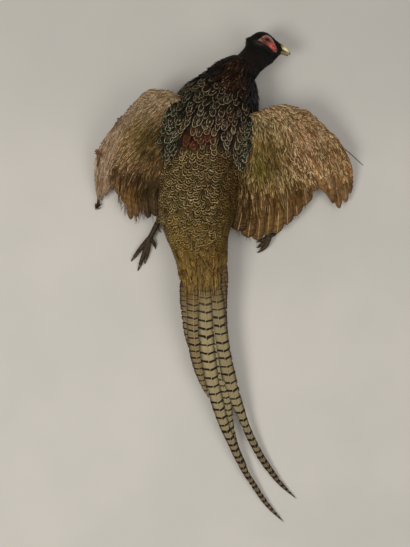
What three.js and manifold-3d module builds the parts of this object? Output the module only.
// A life-size mounted cock pheasant lying on its breast and belly, wings half
// spread, head turned to its right, long tail trailing behind.
// Millimetres, +Z up, the floor at z = 0, head towards +Y, tail towards -Y.
import * as THREE from 'three';
import { mergeVertices } from 'three/addons/utils/BufferGeometryUtils.js';
import Module from 'manifold-3d';

const wasm = await Module();
wasm.setup();

// ---------------------------------------------------------------- sizes ----
const GAP = 0.35;                 // clearance between neighbouring solids
const ORIGIN = [-36.6, 14.5];     // moves the middle of the bird's box to x = y = 0

// Trunk: y, middle x, half width, top z, bottom z (below 0 is the flat belly)
const TRUNK = [
  [325.5, 41, 11, 74, 50], [319, 39.5, 27, 84, 38], [309.5, 35, 43, 94, 26],
  [295.5, 25.5, 58.5, 102, 13], [276.5, 17.5, 69.5, 109, 4], [251, 11, 74.5, 114, -2],
  [219.5, 6.5, 76, 117, -5], [187.5, 1.6, 76, 118, -5], [156, -3, 74.5, 116, -4],
  [124.5, -8, 70.5, 111, -2], [92.5, -12.5, 63.5, 104, 3], [61, -13, 53, 96, 13],
  [29.5, -7, 45, 87, 26], [-2.4, -3, 40, 78, 38], [-29.5, -2.2, 37.5, 71, 45],
  [-48.5, -1.6, 31.5, 64, 50],
];
const TRUNK_WIDEST = 0.46;        // height of the widest line, from the bottom
const TRUNK_SIDES = 24;
const TRUNK_POWER = [2.2, 2.7];   // roundness of the back and of the belly

// Neck: middle x, y, z, half width across the back, half height
const NECK = [
  [35.5, 291.5, 61, 45.8, 38],
  [43.5, 309.5, 61, 36.1, 34],
  [51.5, 319.5, 60, 26.8, 29.5],
  [61.5, 326, 58, 22, 25],
  [70.5, 335.5, 55.5, 21.7, 21.5],
  [80.5, 344, 54, 25.1, 19],
  [90, 353.5, 52.5, 28.2, 17],
];
const NECK_SIDES = 16;

// Head: its own frame, with "along" towards the bill and "up" towards the crown;
// the right cheek faces +Z. Rows: along, crown line, throat line, half breadth
const HEAD_AT = [95.3, 360.5, 52];
const HEAD_ALONG = [0.954, -0.299];
const HEAD = [
  [-31, 5.4, -4, 4.5], [-26.5, 7.6, -11.5, 10.5], [-23, 12.4, -15, 13.2], [-18, 17.6, -17.8, 15.6],
  [-10.5, 20.8, -19, 17.4], [-2, 20.9, -18.5, 17.4], [7, 17.6, -16.4, 15.9], [15, 13.8, -13.4, 12.9],
  [22, 11.2, -10, 9.4], [26.6, 7.4, -6.8, 6.8], [29.5, 3.2, -3, 4],
];
const HEAD_SIDES = 18;
const EYE = { along: 1.9, up: 5.7, lateral: 12.4, radius: 5 };
const EYE_ROOM = 0.4;             // socket clearance round the eye

// Bill: along, top line, lower line, half breadth
const BILL_UPPER = [
  [17, 9.6, 2.8, 6], [23.5, 10.2, 2.4, 5.8], [29, 9.2, 1.7, 5], [34.5, 7.1, 0.8, 3.7],
  [39, 4.2, -0.3, 2.1], [42.4, 0.7, -1.9, 0.6],
];
const BILL_LOWER = [
  [18, 2.2, -4, 5.2], [24, 1.9, -4.2, 5], [30, 1, -3.5, 4], [35, 0.2, -3, 2.6], [38.6, -0.8, -2.2, 1],
];

// Wings: fraction from the shoulder to the outermost primary, then the upper
// surface at the leading edge, at the middle and at the feather tips (x, y, z)
const WING_RIGHT = [
  [0, [58.5, 244.5, 84], [46, 158.5, 92], [41.5, 72.5, 50]],
  [0.15, [81, 251, 93], [73.5, 157, 93], [76, 51, 33]],
  [0.3, [99.5, 258, 92], [101.5, 161, 86], [108.5, 61, 27]],
  [0.45, [118, 261.5, 89], [128.5, 166.5, 79], [142, 82, 25]],
  [0.58, [134, 259, 85], [151.5, 169.5, 70], [170, 114.5, 24]],
  [0.66, [143.5, 256, 81], [170.5, 170.5, 64], [190.5, 140, 23]],
  [0.75, [155, 253.5, 76], [189.5, 174.5, 57], [212.5, 105.5, 18]],
  [0.85, [166, 248.5, 70], [206, 180.5, 49], [228, 113, 15]],
  [0.93, [175, 243, 65], [217.5, 186.5, 43], [238, 124, 13]],
  [1, [182.5, 235, 60], [226.5, 192, 39], [241.5, 142, 13]],
];
const WING_LEFT = [
  [0, [-31, 272, 86], [-50.5, 189.5, 92], [-68.5, 88.5, 50]],
  [0.15, [-52, 280.5, 94], [-79.5, 188, 92], [-90.5, 91.5, 32]],
  [0.3, [-64.5, 283.5, 92], [-97.5, 190.5, 84], [-109, 87.5, 26]],
  [0.45, [-74.5, 281, 89], [-113.5, 193, 76], [-127, 94.5, 24]],
  [0.58, [-88, 278, 85], [-127.5, 195, 68], [-143.5, 121.5, 23]],
  [0.66, [-97.5, 274, 81], [-137, 195, 62], [-154, 137, 22]],
  [0.75, [-105.5, 269, 76], [-146.5, 195, 55], [-162.5, 126.5, 18]],
  [0.85, [-115.5, 261, 70], [-156, 194.5, 48], [-169, 119, 15]],
  [0.93, [-123.5, 253, 65], [-164, 194, 42], [-174, 119, 13]],
  [1, [-129.5, 244.5, 60], [-171, 193, 38], [-178, 125.5, 13]],
];
const WING_HAND = 0.6;            // where the secondaries end and the primaries begin
const WING_COVERTS = 0.48;        // how far back the arm and its coverts reach
const SECONDARIES = 11;
const PRIMARIES = 10;
const SCALLOP = 0.05;             // how far the edge draws in between two feather tips
const WING_THICK = { shoulder: 15, wrist: 7, coverts: 3.2, tips: 1.2 };

// Tail feathers: shaft line (x, y, z) with the vane's width, drawn one over another
const TAIL = {
  central_left: [[-1.6, 24.5, 64, 18], [0, -42, 57, 24], [2.4, -106, 50, 25], [9.5, -164, 42.5, 24],
    [19.5, -205, 36.5, 21], [30.5, -243.5, 30.5, 17], [44, -275.5, 25, 14.5], [54.5, -301, 20.5, 12.5],
    [69, -329.5, 15, 10.5], [84, -354, 10.5, 9], [105, -384.5, 5.8, 7], [130.5, -412, 2.2, 1]],
  central_right: [[12.5, 24.5, 63, 18], [18, -42, 56, 25], [26.5, -106, 49, 23], [38, -164.5, 41.5, 23],
    [49.5, -204.5, 33, 20], [59.8, -231.5, 26, 15], [67.5, -251.5, 22.5, 13.5], [80, -279, 17.5, 12.5],
    [93, -303, 13, 11.5], [109.5, -327.5, 9, 10], [128, -350.5, 5.4, 6.5], [151.5, -373.5, 2.2, 1]],
  second_left: [[-12.5, 24.5, 62.2, 17], [-18.5, -42, 55.2, 24], [-17.5, -98, 49, 23], [-12.5, -138.5, 44, 19],
    [-4, -172.5, 39.5, 12], [6.5, -202, 35.4, 1]],
  second_right: [[6.5, 24.5, 61.6, 16], [10, -42, 54.6, 22], [16.5, -106, 47.6, 22], [25.5, -165, 39.9, 20],
    [34, -204.5, 34, 17], [41, -246, 27.5, 12], [51, -283.5, 21.4, 9], [69, -316, 15, 1]],
  third_right: [[22.5, 21.5, 60, 12], [26, -26, 55, 17], [27, -74, 50, 17], [33, -114.5, 45.2, 12], [45, -154, 39.4, 1]],
  third_left: [[-20.5, 21.5, 60.4, 12], [-27.5, -26, 55.4, 17], [-28, -66, 51, 17], [-25.5, -103, 47, 12], [-19, -136, 42.8, 1]],
  fourth_right: [[23, 18, 58.4, 10], [28, -10.5, 55, 14], [28, -39, 52, 13], [28.5, -66.5, 48.6, 10], [31.5, -97, 45.4, 1]],
};
// A bare feather shaft standing out past the right wing
const QUILL = [[218, 202, 48, 0.9], [233, 190, 47, 0.8], [252.5, 172.5, 45.5, 0.5]];

const VANE_THICK = 3.2;           // at the shaft; the edges are a third of that
const VANE_ROOF = 0.1;            // how far the edges sit below the shaft, per width
const VANE_STEPS = 12;

// Legs: x, y, z and radius from the feathered tibia to the foot
const LEG_LEFT = [[-57, 115, 24, 13], [-66, 101.5, 20, 9.5], [-73, 90.5, 16.5, 6], [-76.5, 85, 14.8, 4.8],
  [-85.5, 68, 11.5, 4.3], [-90.5, 58.5, 9.4, 4.8]];
const LEG_RIGHT = [[49, 118, 26, 13], [62, 104.5, 21.5, 9], [73, 93.5, 18.5, 6.2], [80, 87, 17, 4.8],
  [95, 73, 15.5, 4.3], [104.5, 62.5, 14.2, 4.8]];
const TOES_LEFT = {
  inner: [[-91.5, 57, 8.5, 4.2], [-94, 39, 5, 3.4], [-97.5, 25.5, 3.6, 2.8]],
  middle: [[-92, 57, 8.5, 4.4], [-100, 35.5, 5, 3.6], [-107, 15, 3.6, 2.9]],
  outer: [[-92.5, 57.5, 8.5, 4.2], [-106.5, 41.5, 5, 3.4], [-116.5, 28, 3.6, 2.8]],
  hind: [[-90.5, 57.5, 8.5, 3.6], [-85, 51, 5.5, 2.6], [-83, 46, 3.6, 2.2]],
};
const CLAWS_LEFT = {
  inner: [[-97.2, 26.6, 3.8, 2.2], [-99, 20, 3, 1.6], [-100, 15.5, 1.2, 0.5]],
  middle: [[-106.6, 16.2, 3.8, 2.3], [-109.5, 9, 3, 1.6], [-111.5, 4, 1.2, 0.5]],
  outer: [[-115.7, 29, 3.8, 2.2], [-120, 23.5, 3, 1.6], [-122.5, 20, 1.2, 0.5]],
  hind: [[-83.2, 46.8, 3.6, 1.6], [-82.5, 43.5, 2.8, 1.2], [-82, 40.5, 1, 0.5]],
};
const TOES_RIGHT = {
  inner: [[105.5, 60.5, 13.4, 4.2], [98, 56, 10.8, 3.4], [91.5, 54, 7, 2.8]],
  middle: [[106, 60, 13.4, 4.4], [101, 47, 9.8, 3.6], [93.5, 39, 5.4, 2.9]],
  outer: [[105.8, 60, 13.4, 4.2], [98, 51, 10.3, 3.4], [91.5, 46, 5.6, 2.8]],
  hind: [[106, 61.5, 13.6, 3.6], [113, 64, 9.5, 2.6], [115.5, 66, 6, 2.2]],
};
const CLAWS_RIGHT = {
  inner: [[92.2, 54.2, 7.4, 2.2], [88, 53, 5.6, 1.6], [85, 51.5, 2.6, 0.5]],
  middle: [[94.2, 39.8, 5.7, 2.3], [90, 36, 3.6, 1.6], [86.5, 34.5, 1.3, 0.5]],
  outer: [[92.2, 46.6, 5.9, 2.2], [88.5, 44, 3.8, 1.6], [85.5, 42.5, 1.4, 0.5]],
  hind: [[115.2, 65.7, 6.3, 1.6], [118, 67, 4.2, 1.2], [120.5, 68, 1.8, 0.5]],
};
const SPUR_LEFT = [[-81.5, 75.5, 12.8, 2.6], [-76.5, 72, 12.2, 2], [-71.5, 67.5, 10.8, 0.6]];
const SPUR_RIGHT = [[87, 80, 16.2, 2.6], [83.5, 73.5, 15, 2], [80.5, 67.5, 12.8, 0.6]];

const COLOURS = {
  trunk: '#6b5433', neck: '#14201f', head: '#101a1c', wattle: '#a23a34', bill: '#c9bd84',
  eye: '#2a0f08', wing: '#7a6142', primaries: '#8a7450', tail: '#8f7d5c', leg: '#4a443c', claw: '#2b2622',
};

// -------------------------------------------------------------- helpers ----
const V = (p) => new THREE.Vector3(p[0], p[1], p[2]);

// Smooth value of a table's columns at t (a Catmull-Rom pass through its rows)
function along(rows, keys, t) {
  let i = 0;
  while (i < keys.length - 2 && t > keys[i + 1]) i += 1;
  const k0 = keys[i]; const k1 = keys[i + 1];
  const s = Math.min(1, Math.max(0, (t - k0) / (k1 - k0)));
  const a = rows[Math.max(0, i - 1)]; const b = rows[i];
  const c = rows[i + 1]; const d = rows[Math.min(rows.length - 1, i + 2)];
  const ka = keys[Math.max(0, i - 1)]; const kd = keys[Math.min(keys.length - 1, i + 2)];
  return b.map((_, j) => {
    const m0 = ((c[j] - a[j]) / (k1 - ka || 1)) * (k1 - k0);
    const m1 = ((d[j] - b[j]) / (kd - k0 || 1)) * (k1 - k0);
    const s2 = s * s; const s3 = s2 * s;
    return (2 * s3 - 3 * s2 + 1) * b[j] + (s3 - 2 * s2 + s) * m0 + (-2 * s3 + 3 * s2) * c[j] + (s3 - s2) * m1;
  });
}

// Closed solid through a row of rings, each a list of points
function skinOver(rings) {
  const n = rings[0].length;
  const pos = []; const index = [];
  rings.forEach((ring) => ring.forEach((p) => pos.push(p.x, p.y, p.z)));
  for (let i = 0; i + 1 < rings.length; i += 1) {
    for (let j = 0; j < n; j += 1) {
      const a = i * n + j; const b = i * n + ((j + 1) % n);
      index.push(a, b, a + n, b, b + n, a + n);
    }
  }
  for (const [ring, row, flip] of [[rings[0], 0, true], [rings.at(-1), rings.length - 1, false]]) {
    const mid = ring.reduce((s, p) => s.add(p), new THREE.Vector3()).multiplyScalar(1 / n);
    const m = pos.length / 3;
    pos.push(mid.x, mid.y, mid.z);
    for (let j = 0; j < n; j += 1) {
      const a = row * n + j; const b = row * n + ((j + 1) % n);
      if (flip) index.push(m, b, a); else index.push(m, a, b);
    }
  }
  const g = new THREE.BufferGeometry();
  g.setAttribute('position', new THREE.Float32BufferAttribute(pos, 3));
  g.setIndex(index);
  return g;
}

function volume(g) {
  const p = g.attributes.position.array; const ix = g.index.array; let v = 0;
  for (let i = 0; i < ix.length; i += 3) {
    const [a, b, c] = [ix[i] * 3, ix[i + 1] * 3, ix[i + 2] * 3];
    v += p[a] * (p[b + 1] * p[c + 2] - p[b + 2] * p[c + 1])
       + p[a + 1] * (p[b + 2] * p[c] - p[b] * p[c + 2])
       + p[a + 2] * (p[b] * p[c + 1] - p[b + 1] * p[c]);
  }
  return v / 6;
}

// A geometry as a manifold solid, faces turned outwards
function solid(geometry) {
  let g = geometry.clone();
  g.deleteAttribute('normal'); g.deleteAttribute('uv');
  g = mergeVertices(g, 1e-4);
  const ix = Array.from(g.index.array);
  if (volume(g) < 0) for (let i = 0; i < ix.length; i += 3) [ix[i], ix[i + 1]] = [ix[i + 1], ix[i]];
  return new wasm.Manifold(new wasm.Mesh({
    numProp: 3,
    vertProperties: Float32Array.from(g.attributes.position.array),
    triVerts: Uint32Array.from(ix),
  }));
}

function geometryOf(m) {
  const mesh = m.getMesh();
  const g = new THREE.BufferGeometry();
  const n = mesh.numProp; const count = mesh.vertProperties.length / n;
  const pos = new Float32Array(count * 3);
  for (let i = 0; i < count; i += 1) for (let k = 0; k < 3; k += 1) pos[i * 3 + k] = mesh.vertProperties[i * n + k];
  g.setAttribute('position', new THREE.BufferAttribute(pos, 3));
  g.setIndex(Array.from(mesh.triVerts));
  return g;
}

// The largest single body of a cut solid
function mainBody(m) {
  const bodies = m.decompose();
  return bodies.reduce((best, b) => (volume(geometryOf(b)) > volume(geometryOf(best)) ? b : best), bodies[0]);
}

const rounded = (c, p) => Math.sign(c) * Math.abs(c) ** (2 / p);

// Trunk ring at y: rounder on the back, squarer under the belly
function trunkRing(row, grow) {
  const [y, cx, hw, zt, zb] = row;
  const zm = zb + (zt - zb) * TRUNK_WIDEST;
  return Array.from({ length: TRUNK_SIDES }, (_, k) => {
    const a = (2 * Math.PI * (k + 0.5)) / TRUNK_SIDES;
    const power = Math.sin(a) > 0 ? TRUNK_POWER[0] : TRUNK_POWER[1];
    const h = Math.sin(a) > 0 ? zt - zm + grow : zm - zb + grow;
    return new THREE.Vector3(cx + (hw + grow) * rounded(Math.cos(a), power), y, zm + h * rounded(Math.sin(a), power));
  });
}
function trunkBody(grow = 0) {
  const rows = TRUNK.map((r) => [...r]);
  rows[0][0] += grow; rows.at(-1)[0] -= grow;
  return solid(skinOver(rows.map((r) => trunkRing(r, grow))));
}

// Round limb or neck through points with a width and a height
function limb(points, sides, grow = 0) {
  const dir = points.map((p, i) => {
    const a = V(points[Math.max(0, i - 1)]); const b = V(points[Math.min(points.length - 1, i + 1)]);
    return b.sub(a).normalize();
  });
  const rings = points.map((p, i) => {
    const r = p[3] + grow; const h = (p[4] ?? p[3]) + grow;
    const side = new THREE.Vector3().crossVectors(dir[i], new THREE.Vector3(0, 0, 1)).normalize();
    const up = new THREE.Vector3().crossVectors(side, dir[i]).normalize();
    const c = V(p);
    if (i === 0) c.addScaledVector(dir[i], -grow);
    if (i === points.length - 1) c.addScaledVector(dir[i], grow);
    return Array.from({ length: sides }, (_, k) => {
      const a = (2 * Math.PI * (k + 0.5)) / sides;
      return c.clone().addScaledVector(side, r * Math.cos(a)).addScaledVector(up, h * Math.sin(a));
    });
  });
  return solid(skinOver(rings));
}

// Head frame: along the bill, towards the crown, and the right cheek (+Z)
const headPoint = (s, u, w) => new THREE.Vector3(
  HEAD_AT[0] + HEAD_ALONG[0] * s - HEAD_ALONG[1] * u,
  HEAD_AT[1] + HEAD_ALONG[1] * s + HEAD_ALONG[0] * u,
  HEAD_AT[2] + w,
);
function headLoft(rows, sides, power, grow = 0) {
  const rings = rows.map(([s, top, low, hw], i) => {
    const s1 = s + (i === 0 ? -grow : i === rows.length - 1 ? grow : 0);
    const mid = (top + low) / 2;
    return Array.from({ length: sides }, (_, k) => {
      const a = (2 * Math.PI * (k + 0.5)) / sides;
      return headPoint(s1, mid + ((top - low) / 2 + grow) * rounded(Math.sin(a), power),
        (hw + grow) * rounded(Math.cos(a), power));
    });
  });
  return solid(skinOver(rings));
}

// Upper surface of a wing at (u, v): u outwards, v from the leading edge to the tips
function wingPoint(rows, u, v) {
  const keys = rows.map((r) => r[0]);
  const [r, c, t] = [1, 2, 3].map((k) => along(rows.map((row) => row[k]), keys, u));
  const [a, b, d] = [2 * (v - 0.5) * (v - 1), 4 * v * (1 - v), 2 * v * (v - 0.5)];
  return new THREE.Vector3(...[0, 1, 2].map((i) => a * r[i] + b * c[i] + d * t[i]));
}
function wingThick(u, v) {
  const lead = THREE.MathUtils.lerp(WING_THICK.shoulder, WING_THICK.wrist, Math.min(1, u / 0.9));
  if (v < 0.5) return THREE.MathUtils.lerp(lead, WING_THICK.coverts, (v / 0.5) ** 0.7);
  return THREE.MathUtils.lerp(WING_THICK.coverts, WING_THICK.tips, (v - 0.5) / 0.5);
}
// Solid plate of a wing between two fractions of u and v
function wingPlate(rows, us, vStart, vEnd, nv) {
  const top = []; const low = [];
  us.forEach((u) => {
    const end = typeof vEnd === 'function' ? vEnd(u) : vEnd;
    const a = []; const b = [];
    for (let j = 0; j <= nv; j += 1) {
      const v = vStart + ((end - vStart) * j) / nv;
      const p = wingPoint(rows, u, v);
      const du = wingPoint(rows, Math.min(1, u + 0.01), v).sub(wingPoint(rows, Math.max(0, u - 0.01), v));
      const dv = wingPoint(rows, u, Math.min(1, v + 0.01)).sub(wingPoint(rows, u, Math.max(0, v - 0.01)));
      const n = new THREE.Vector3().crossVectors(du, dv).normalize();
      if (n.z < 0) n.negate();
      const t = wingThick(u, v);
      const nose = vStart === 0 ? Math.max(0, 1 - v / 0.12) ** 2 : 0; // rounded leading edge
      a.push(p.clone().addScaledVector(n, -0.42 * t * nose));
      b.push(p.clone().addScaledVector(n, -t * (1 - 0.42 * nose)));
    }
    top.push(a); low.push(b);
  });
  // rings run round the plate's section at each u
  const rings = us.map((_, i) => [...top[i], ...low[i].slice().reverse()]);
  return solid(skinOver(rings));
}
const steps = (a, b, n) => Array.from({ length: n + 1 }, (_, i) => a + ((b - a) * i) / n);

// Feathered trailing edge: each feather's tip reaches 1, the edge draws in between
function tipEdge(u, from, to, count) {
  const f = (((u - from) / (to - from)) * count) % 1;
  return 1 - SCALLOP * (1 - Math.sin(Math.PI * Math.min(1, Math.max(0, f)))) ** 1.5;
}

// One tail feather: a long thin vane, thickest along its shaft, pointed at the end
function vane(rows) {
  const keys = rows.map((_, i) => i / (rows.length - 1));
  const rings = steps(0, 1, VANE_STEPS).map((t) => {
    const [x, y, z, w] = along(rows, keys, t);
    const a = along(rows, keys, Math.max(0, t - 0.01)); const b = along(rows, keys, Math.min(1, t + 0.01));
    const dir = new THREE.Vector3(b[0] - a[0], b[1] - a[1], b[2] - a[2]).normalize();
    const side = new THREE.Vector3().crossVectors(dir, new THREE.Vector3(0, 0, 1)).normalize();
    const up = new THREE.Vector3().crossVectors(side, dir);
    const half = Math.max(0.5, w / 2); const drop = w * VANE_ROOF;
    const thick = Math.min(VANE_THICK, 0.9 + w * 0.2);
    const at = (s, h) => new THREE.Vector3(x, y, z).addScaledVector(side, s).addScaledVector(up, h);
    return [at(-half, -drop), at(0, 0), at(half, -drop), at(half, -drop - thick * 0.34), at(0, -thick), at(-half, -drop - thick * 0.34)];
  });
  return solid(skinOver(rings));
}

// ---------------------------------------------------------------- build ----
const bird = new THREE.Group();
bird.position.set(ORIGIN[0], ORIGIN[1], 0);
function add(name, shape, colour, roughness = 0.8) {
  const body = mainBody(shape);
  const mesh = new THREE.Mesh(geometryOf(body), new THREE.MeshStandardMaterial({ color: colour, roughness, metalness: 0 }));
  mesh.name = name;
  bird.add(mesh);
}
const block = (x0, x1, y0, y1, z0, z1) => {
  const g = new THREE.BoxGeometry(x1 - x0, y1 - y0, z1 - z0);
  g.translate((x0 + x1) / 2, (y0 + y1) / 2, (z0 + z1) / 2);
  return solid(g);
};

const trunk = trunkBody().intersect(block(-150, 150, -200, 400, 0, 200));
const trunkRoom = trunkBody(GAP);
add('trunk', trunk, COLOURS.trunk);

const head = headLoft(HEAD, HEAD_SIDES, 2.15);
const headRoom = headLoft(HEAD, HEAD_SIDES, 2.15, GAP);
const upper = headLoft(BILL_UPPER, 10, 2);
const lower = headLoft(BILL_LOWER, 10, 2);
const eyeBall = (side, r) => {
  const g = new THREE.SphereGeometry(r, 10, 7);
  const c = headPoint(EYE.along, EYE.up, side * EYE.lateral);
  g.translate(c.x, c.y, c.z);
  return solid(g);
};
add('head', head.subtract(headLoft(BILL_UPPER, 10, 2, GAP)).subtract(headLoft(BILL_LOWER, 10, 2, GAP))
  .subtract(eyeBall(1, EYE.radius + EYE_ROOM)).subtract(eyeBall(-1, EYE.radius + EYE_ROOM)), COLOURS.head, 0.5);
add('eye_right', eyeBall(1, EYE.radius), COLOURS.eye, 0.1);
add('eye_left', eyeBall(-1, EYE.radius), COLOURS.eye, 0.1);
add('bill_upper', upper, COLOURS.bill, 0.4);
add('bill_lower', lower.subtract(headLoft(BILL_UPPER, 10, 2, GAP)), COLOURS.bill, 0.4);
add('neck', limb(NECK, NECK_SIDES).subtract(trunkRoom).subtract(headRoom)
  .subtract(headLoft(BILL_LOWER, 10, 2, GAP)), COLOURS.neck, 0.5);

for (const [side, rows] of [['right', WING_RIGHT], ['left', WING_LEFT]]) {
  const arm = wingPlate(rows, steps(0, 1, 18), 0, WING_COVERTS, 5);
  const sec = wingPlate(rows, steps(0, WING_HAND - 0.002, SECONDARIES * 3), WING_COVERTS + 0.003,
    (u) => tipEdge(u, 0, WING_HAND, SECONDARIES), 4);
  const pri = wingPlate(rows, steps(WING_HAND + 0.002, 1, PRIMARIES * 3), WING_COVERTS + 0.003,
    (u) => tipEdge(u, WING_HAND, 1, PRIMARIES), 4);
  const neckRoom = limb(NECK, NECK_SIDES, GAP);
  add(`wing_${side}_coverts`, arm.subtract(trunkRoom).subtract(neckRoom), COLOURS.wing);
  add(`wing_${side}_secondaries`, sec.subtract(trunkRoom), COLOURS.wing);
  add(`wing_${side}_primaries`, pri, COLOURS.primaries);
}

add('wing_right_quill', limb(QUILL, 6), COLOURS.bill, 0.5);

let tail = null;
for (const rows of Object.values(TAIL)) tail = tail ? tail.add(vane(rows)) : vane(rows);
add('tail', tail.subtract(trunkRoom), COLOURS.tail);

for (const [side, leg, toes, claws, spur] of [
  ['left', LEG_LEFT, TOES_LEFT, CLAWS_LEFT, SPUR_LEFT],
  ['right', LEG_RIGHT, TOES_RIGHT, CLAWS_RIGHT, SPUR_RIGHT],
]) {
  const legRoom = limb(leg, 10, GAP);
  add(`leg_${side}`, limb(leg, 10).subtract(trunkRoom), COLOURS.leg, 0.6);
  let foot = null; let footRoom = null;
  for (const rows of Object.values(toes)) {
    foot = foot ? foot.add(limb(rows, 8)) : limb(rows, 8);
    footRoom = footRoom ? footRoom.add(limb(rows, 8, GAP)) : limb(rows, 8, GAP);
  }
  add(`foot_${side}`, foot.subtract(legRoom), COLOURS.leg, 0.6);
  for (const [toe, rows] of Object.entries(claws)) {
    add(`claw_${side}_${toe}`, limb(rows, 6).subtract(footRoom), COLOURS.claw, 0.4);
  }
  add(`spur_${side}`, limb(spur, 6).subtract(legRoom), COLOURS.claw, 0.4);
}

export default bird;
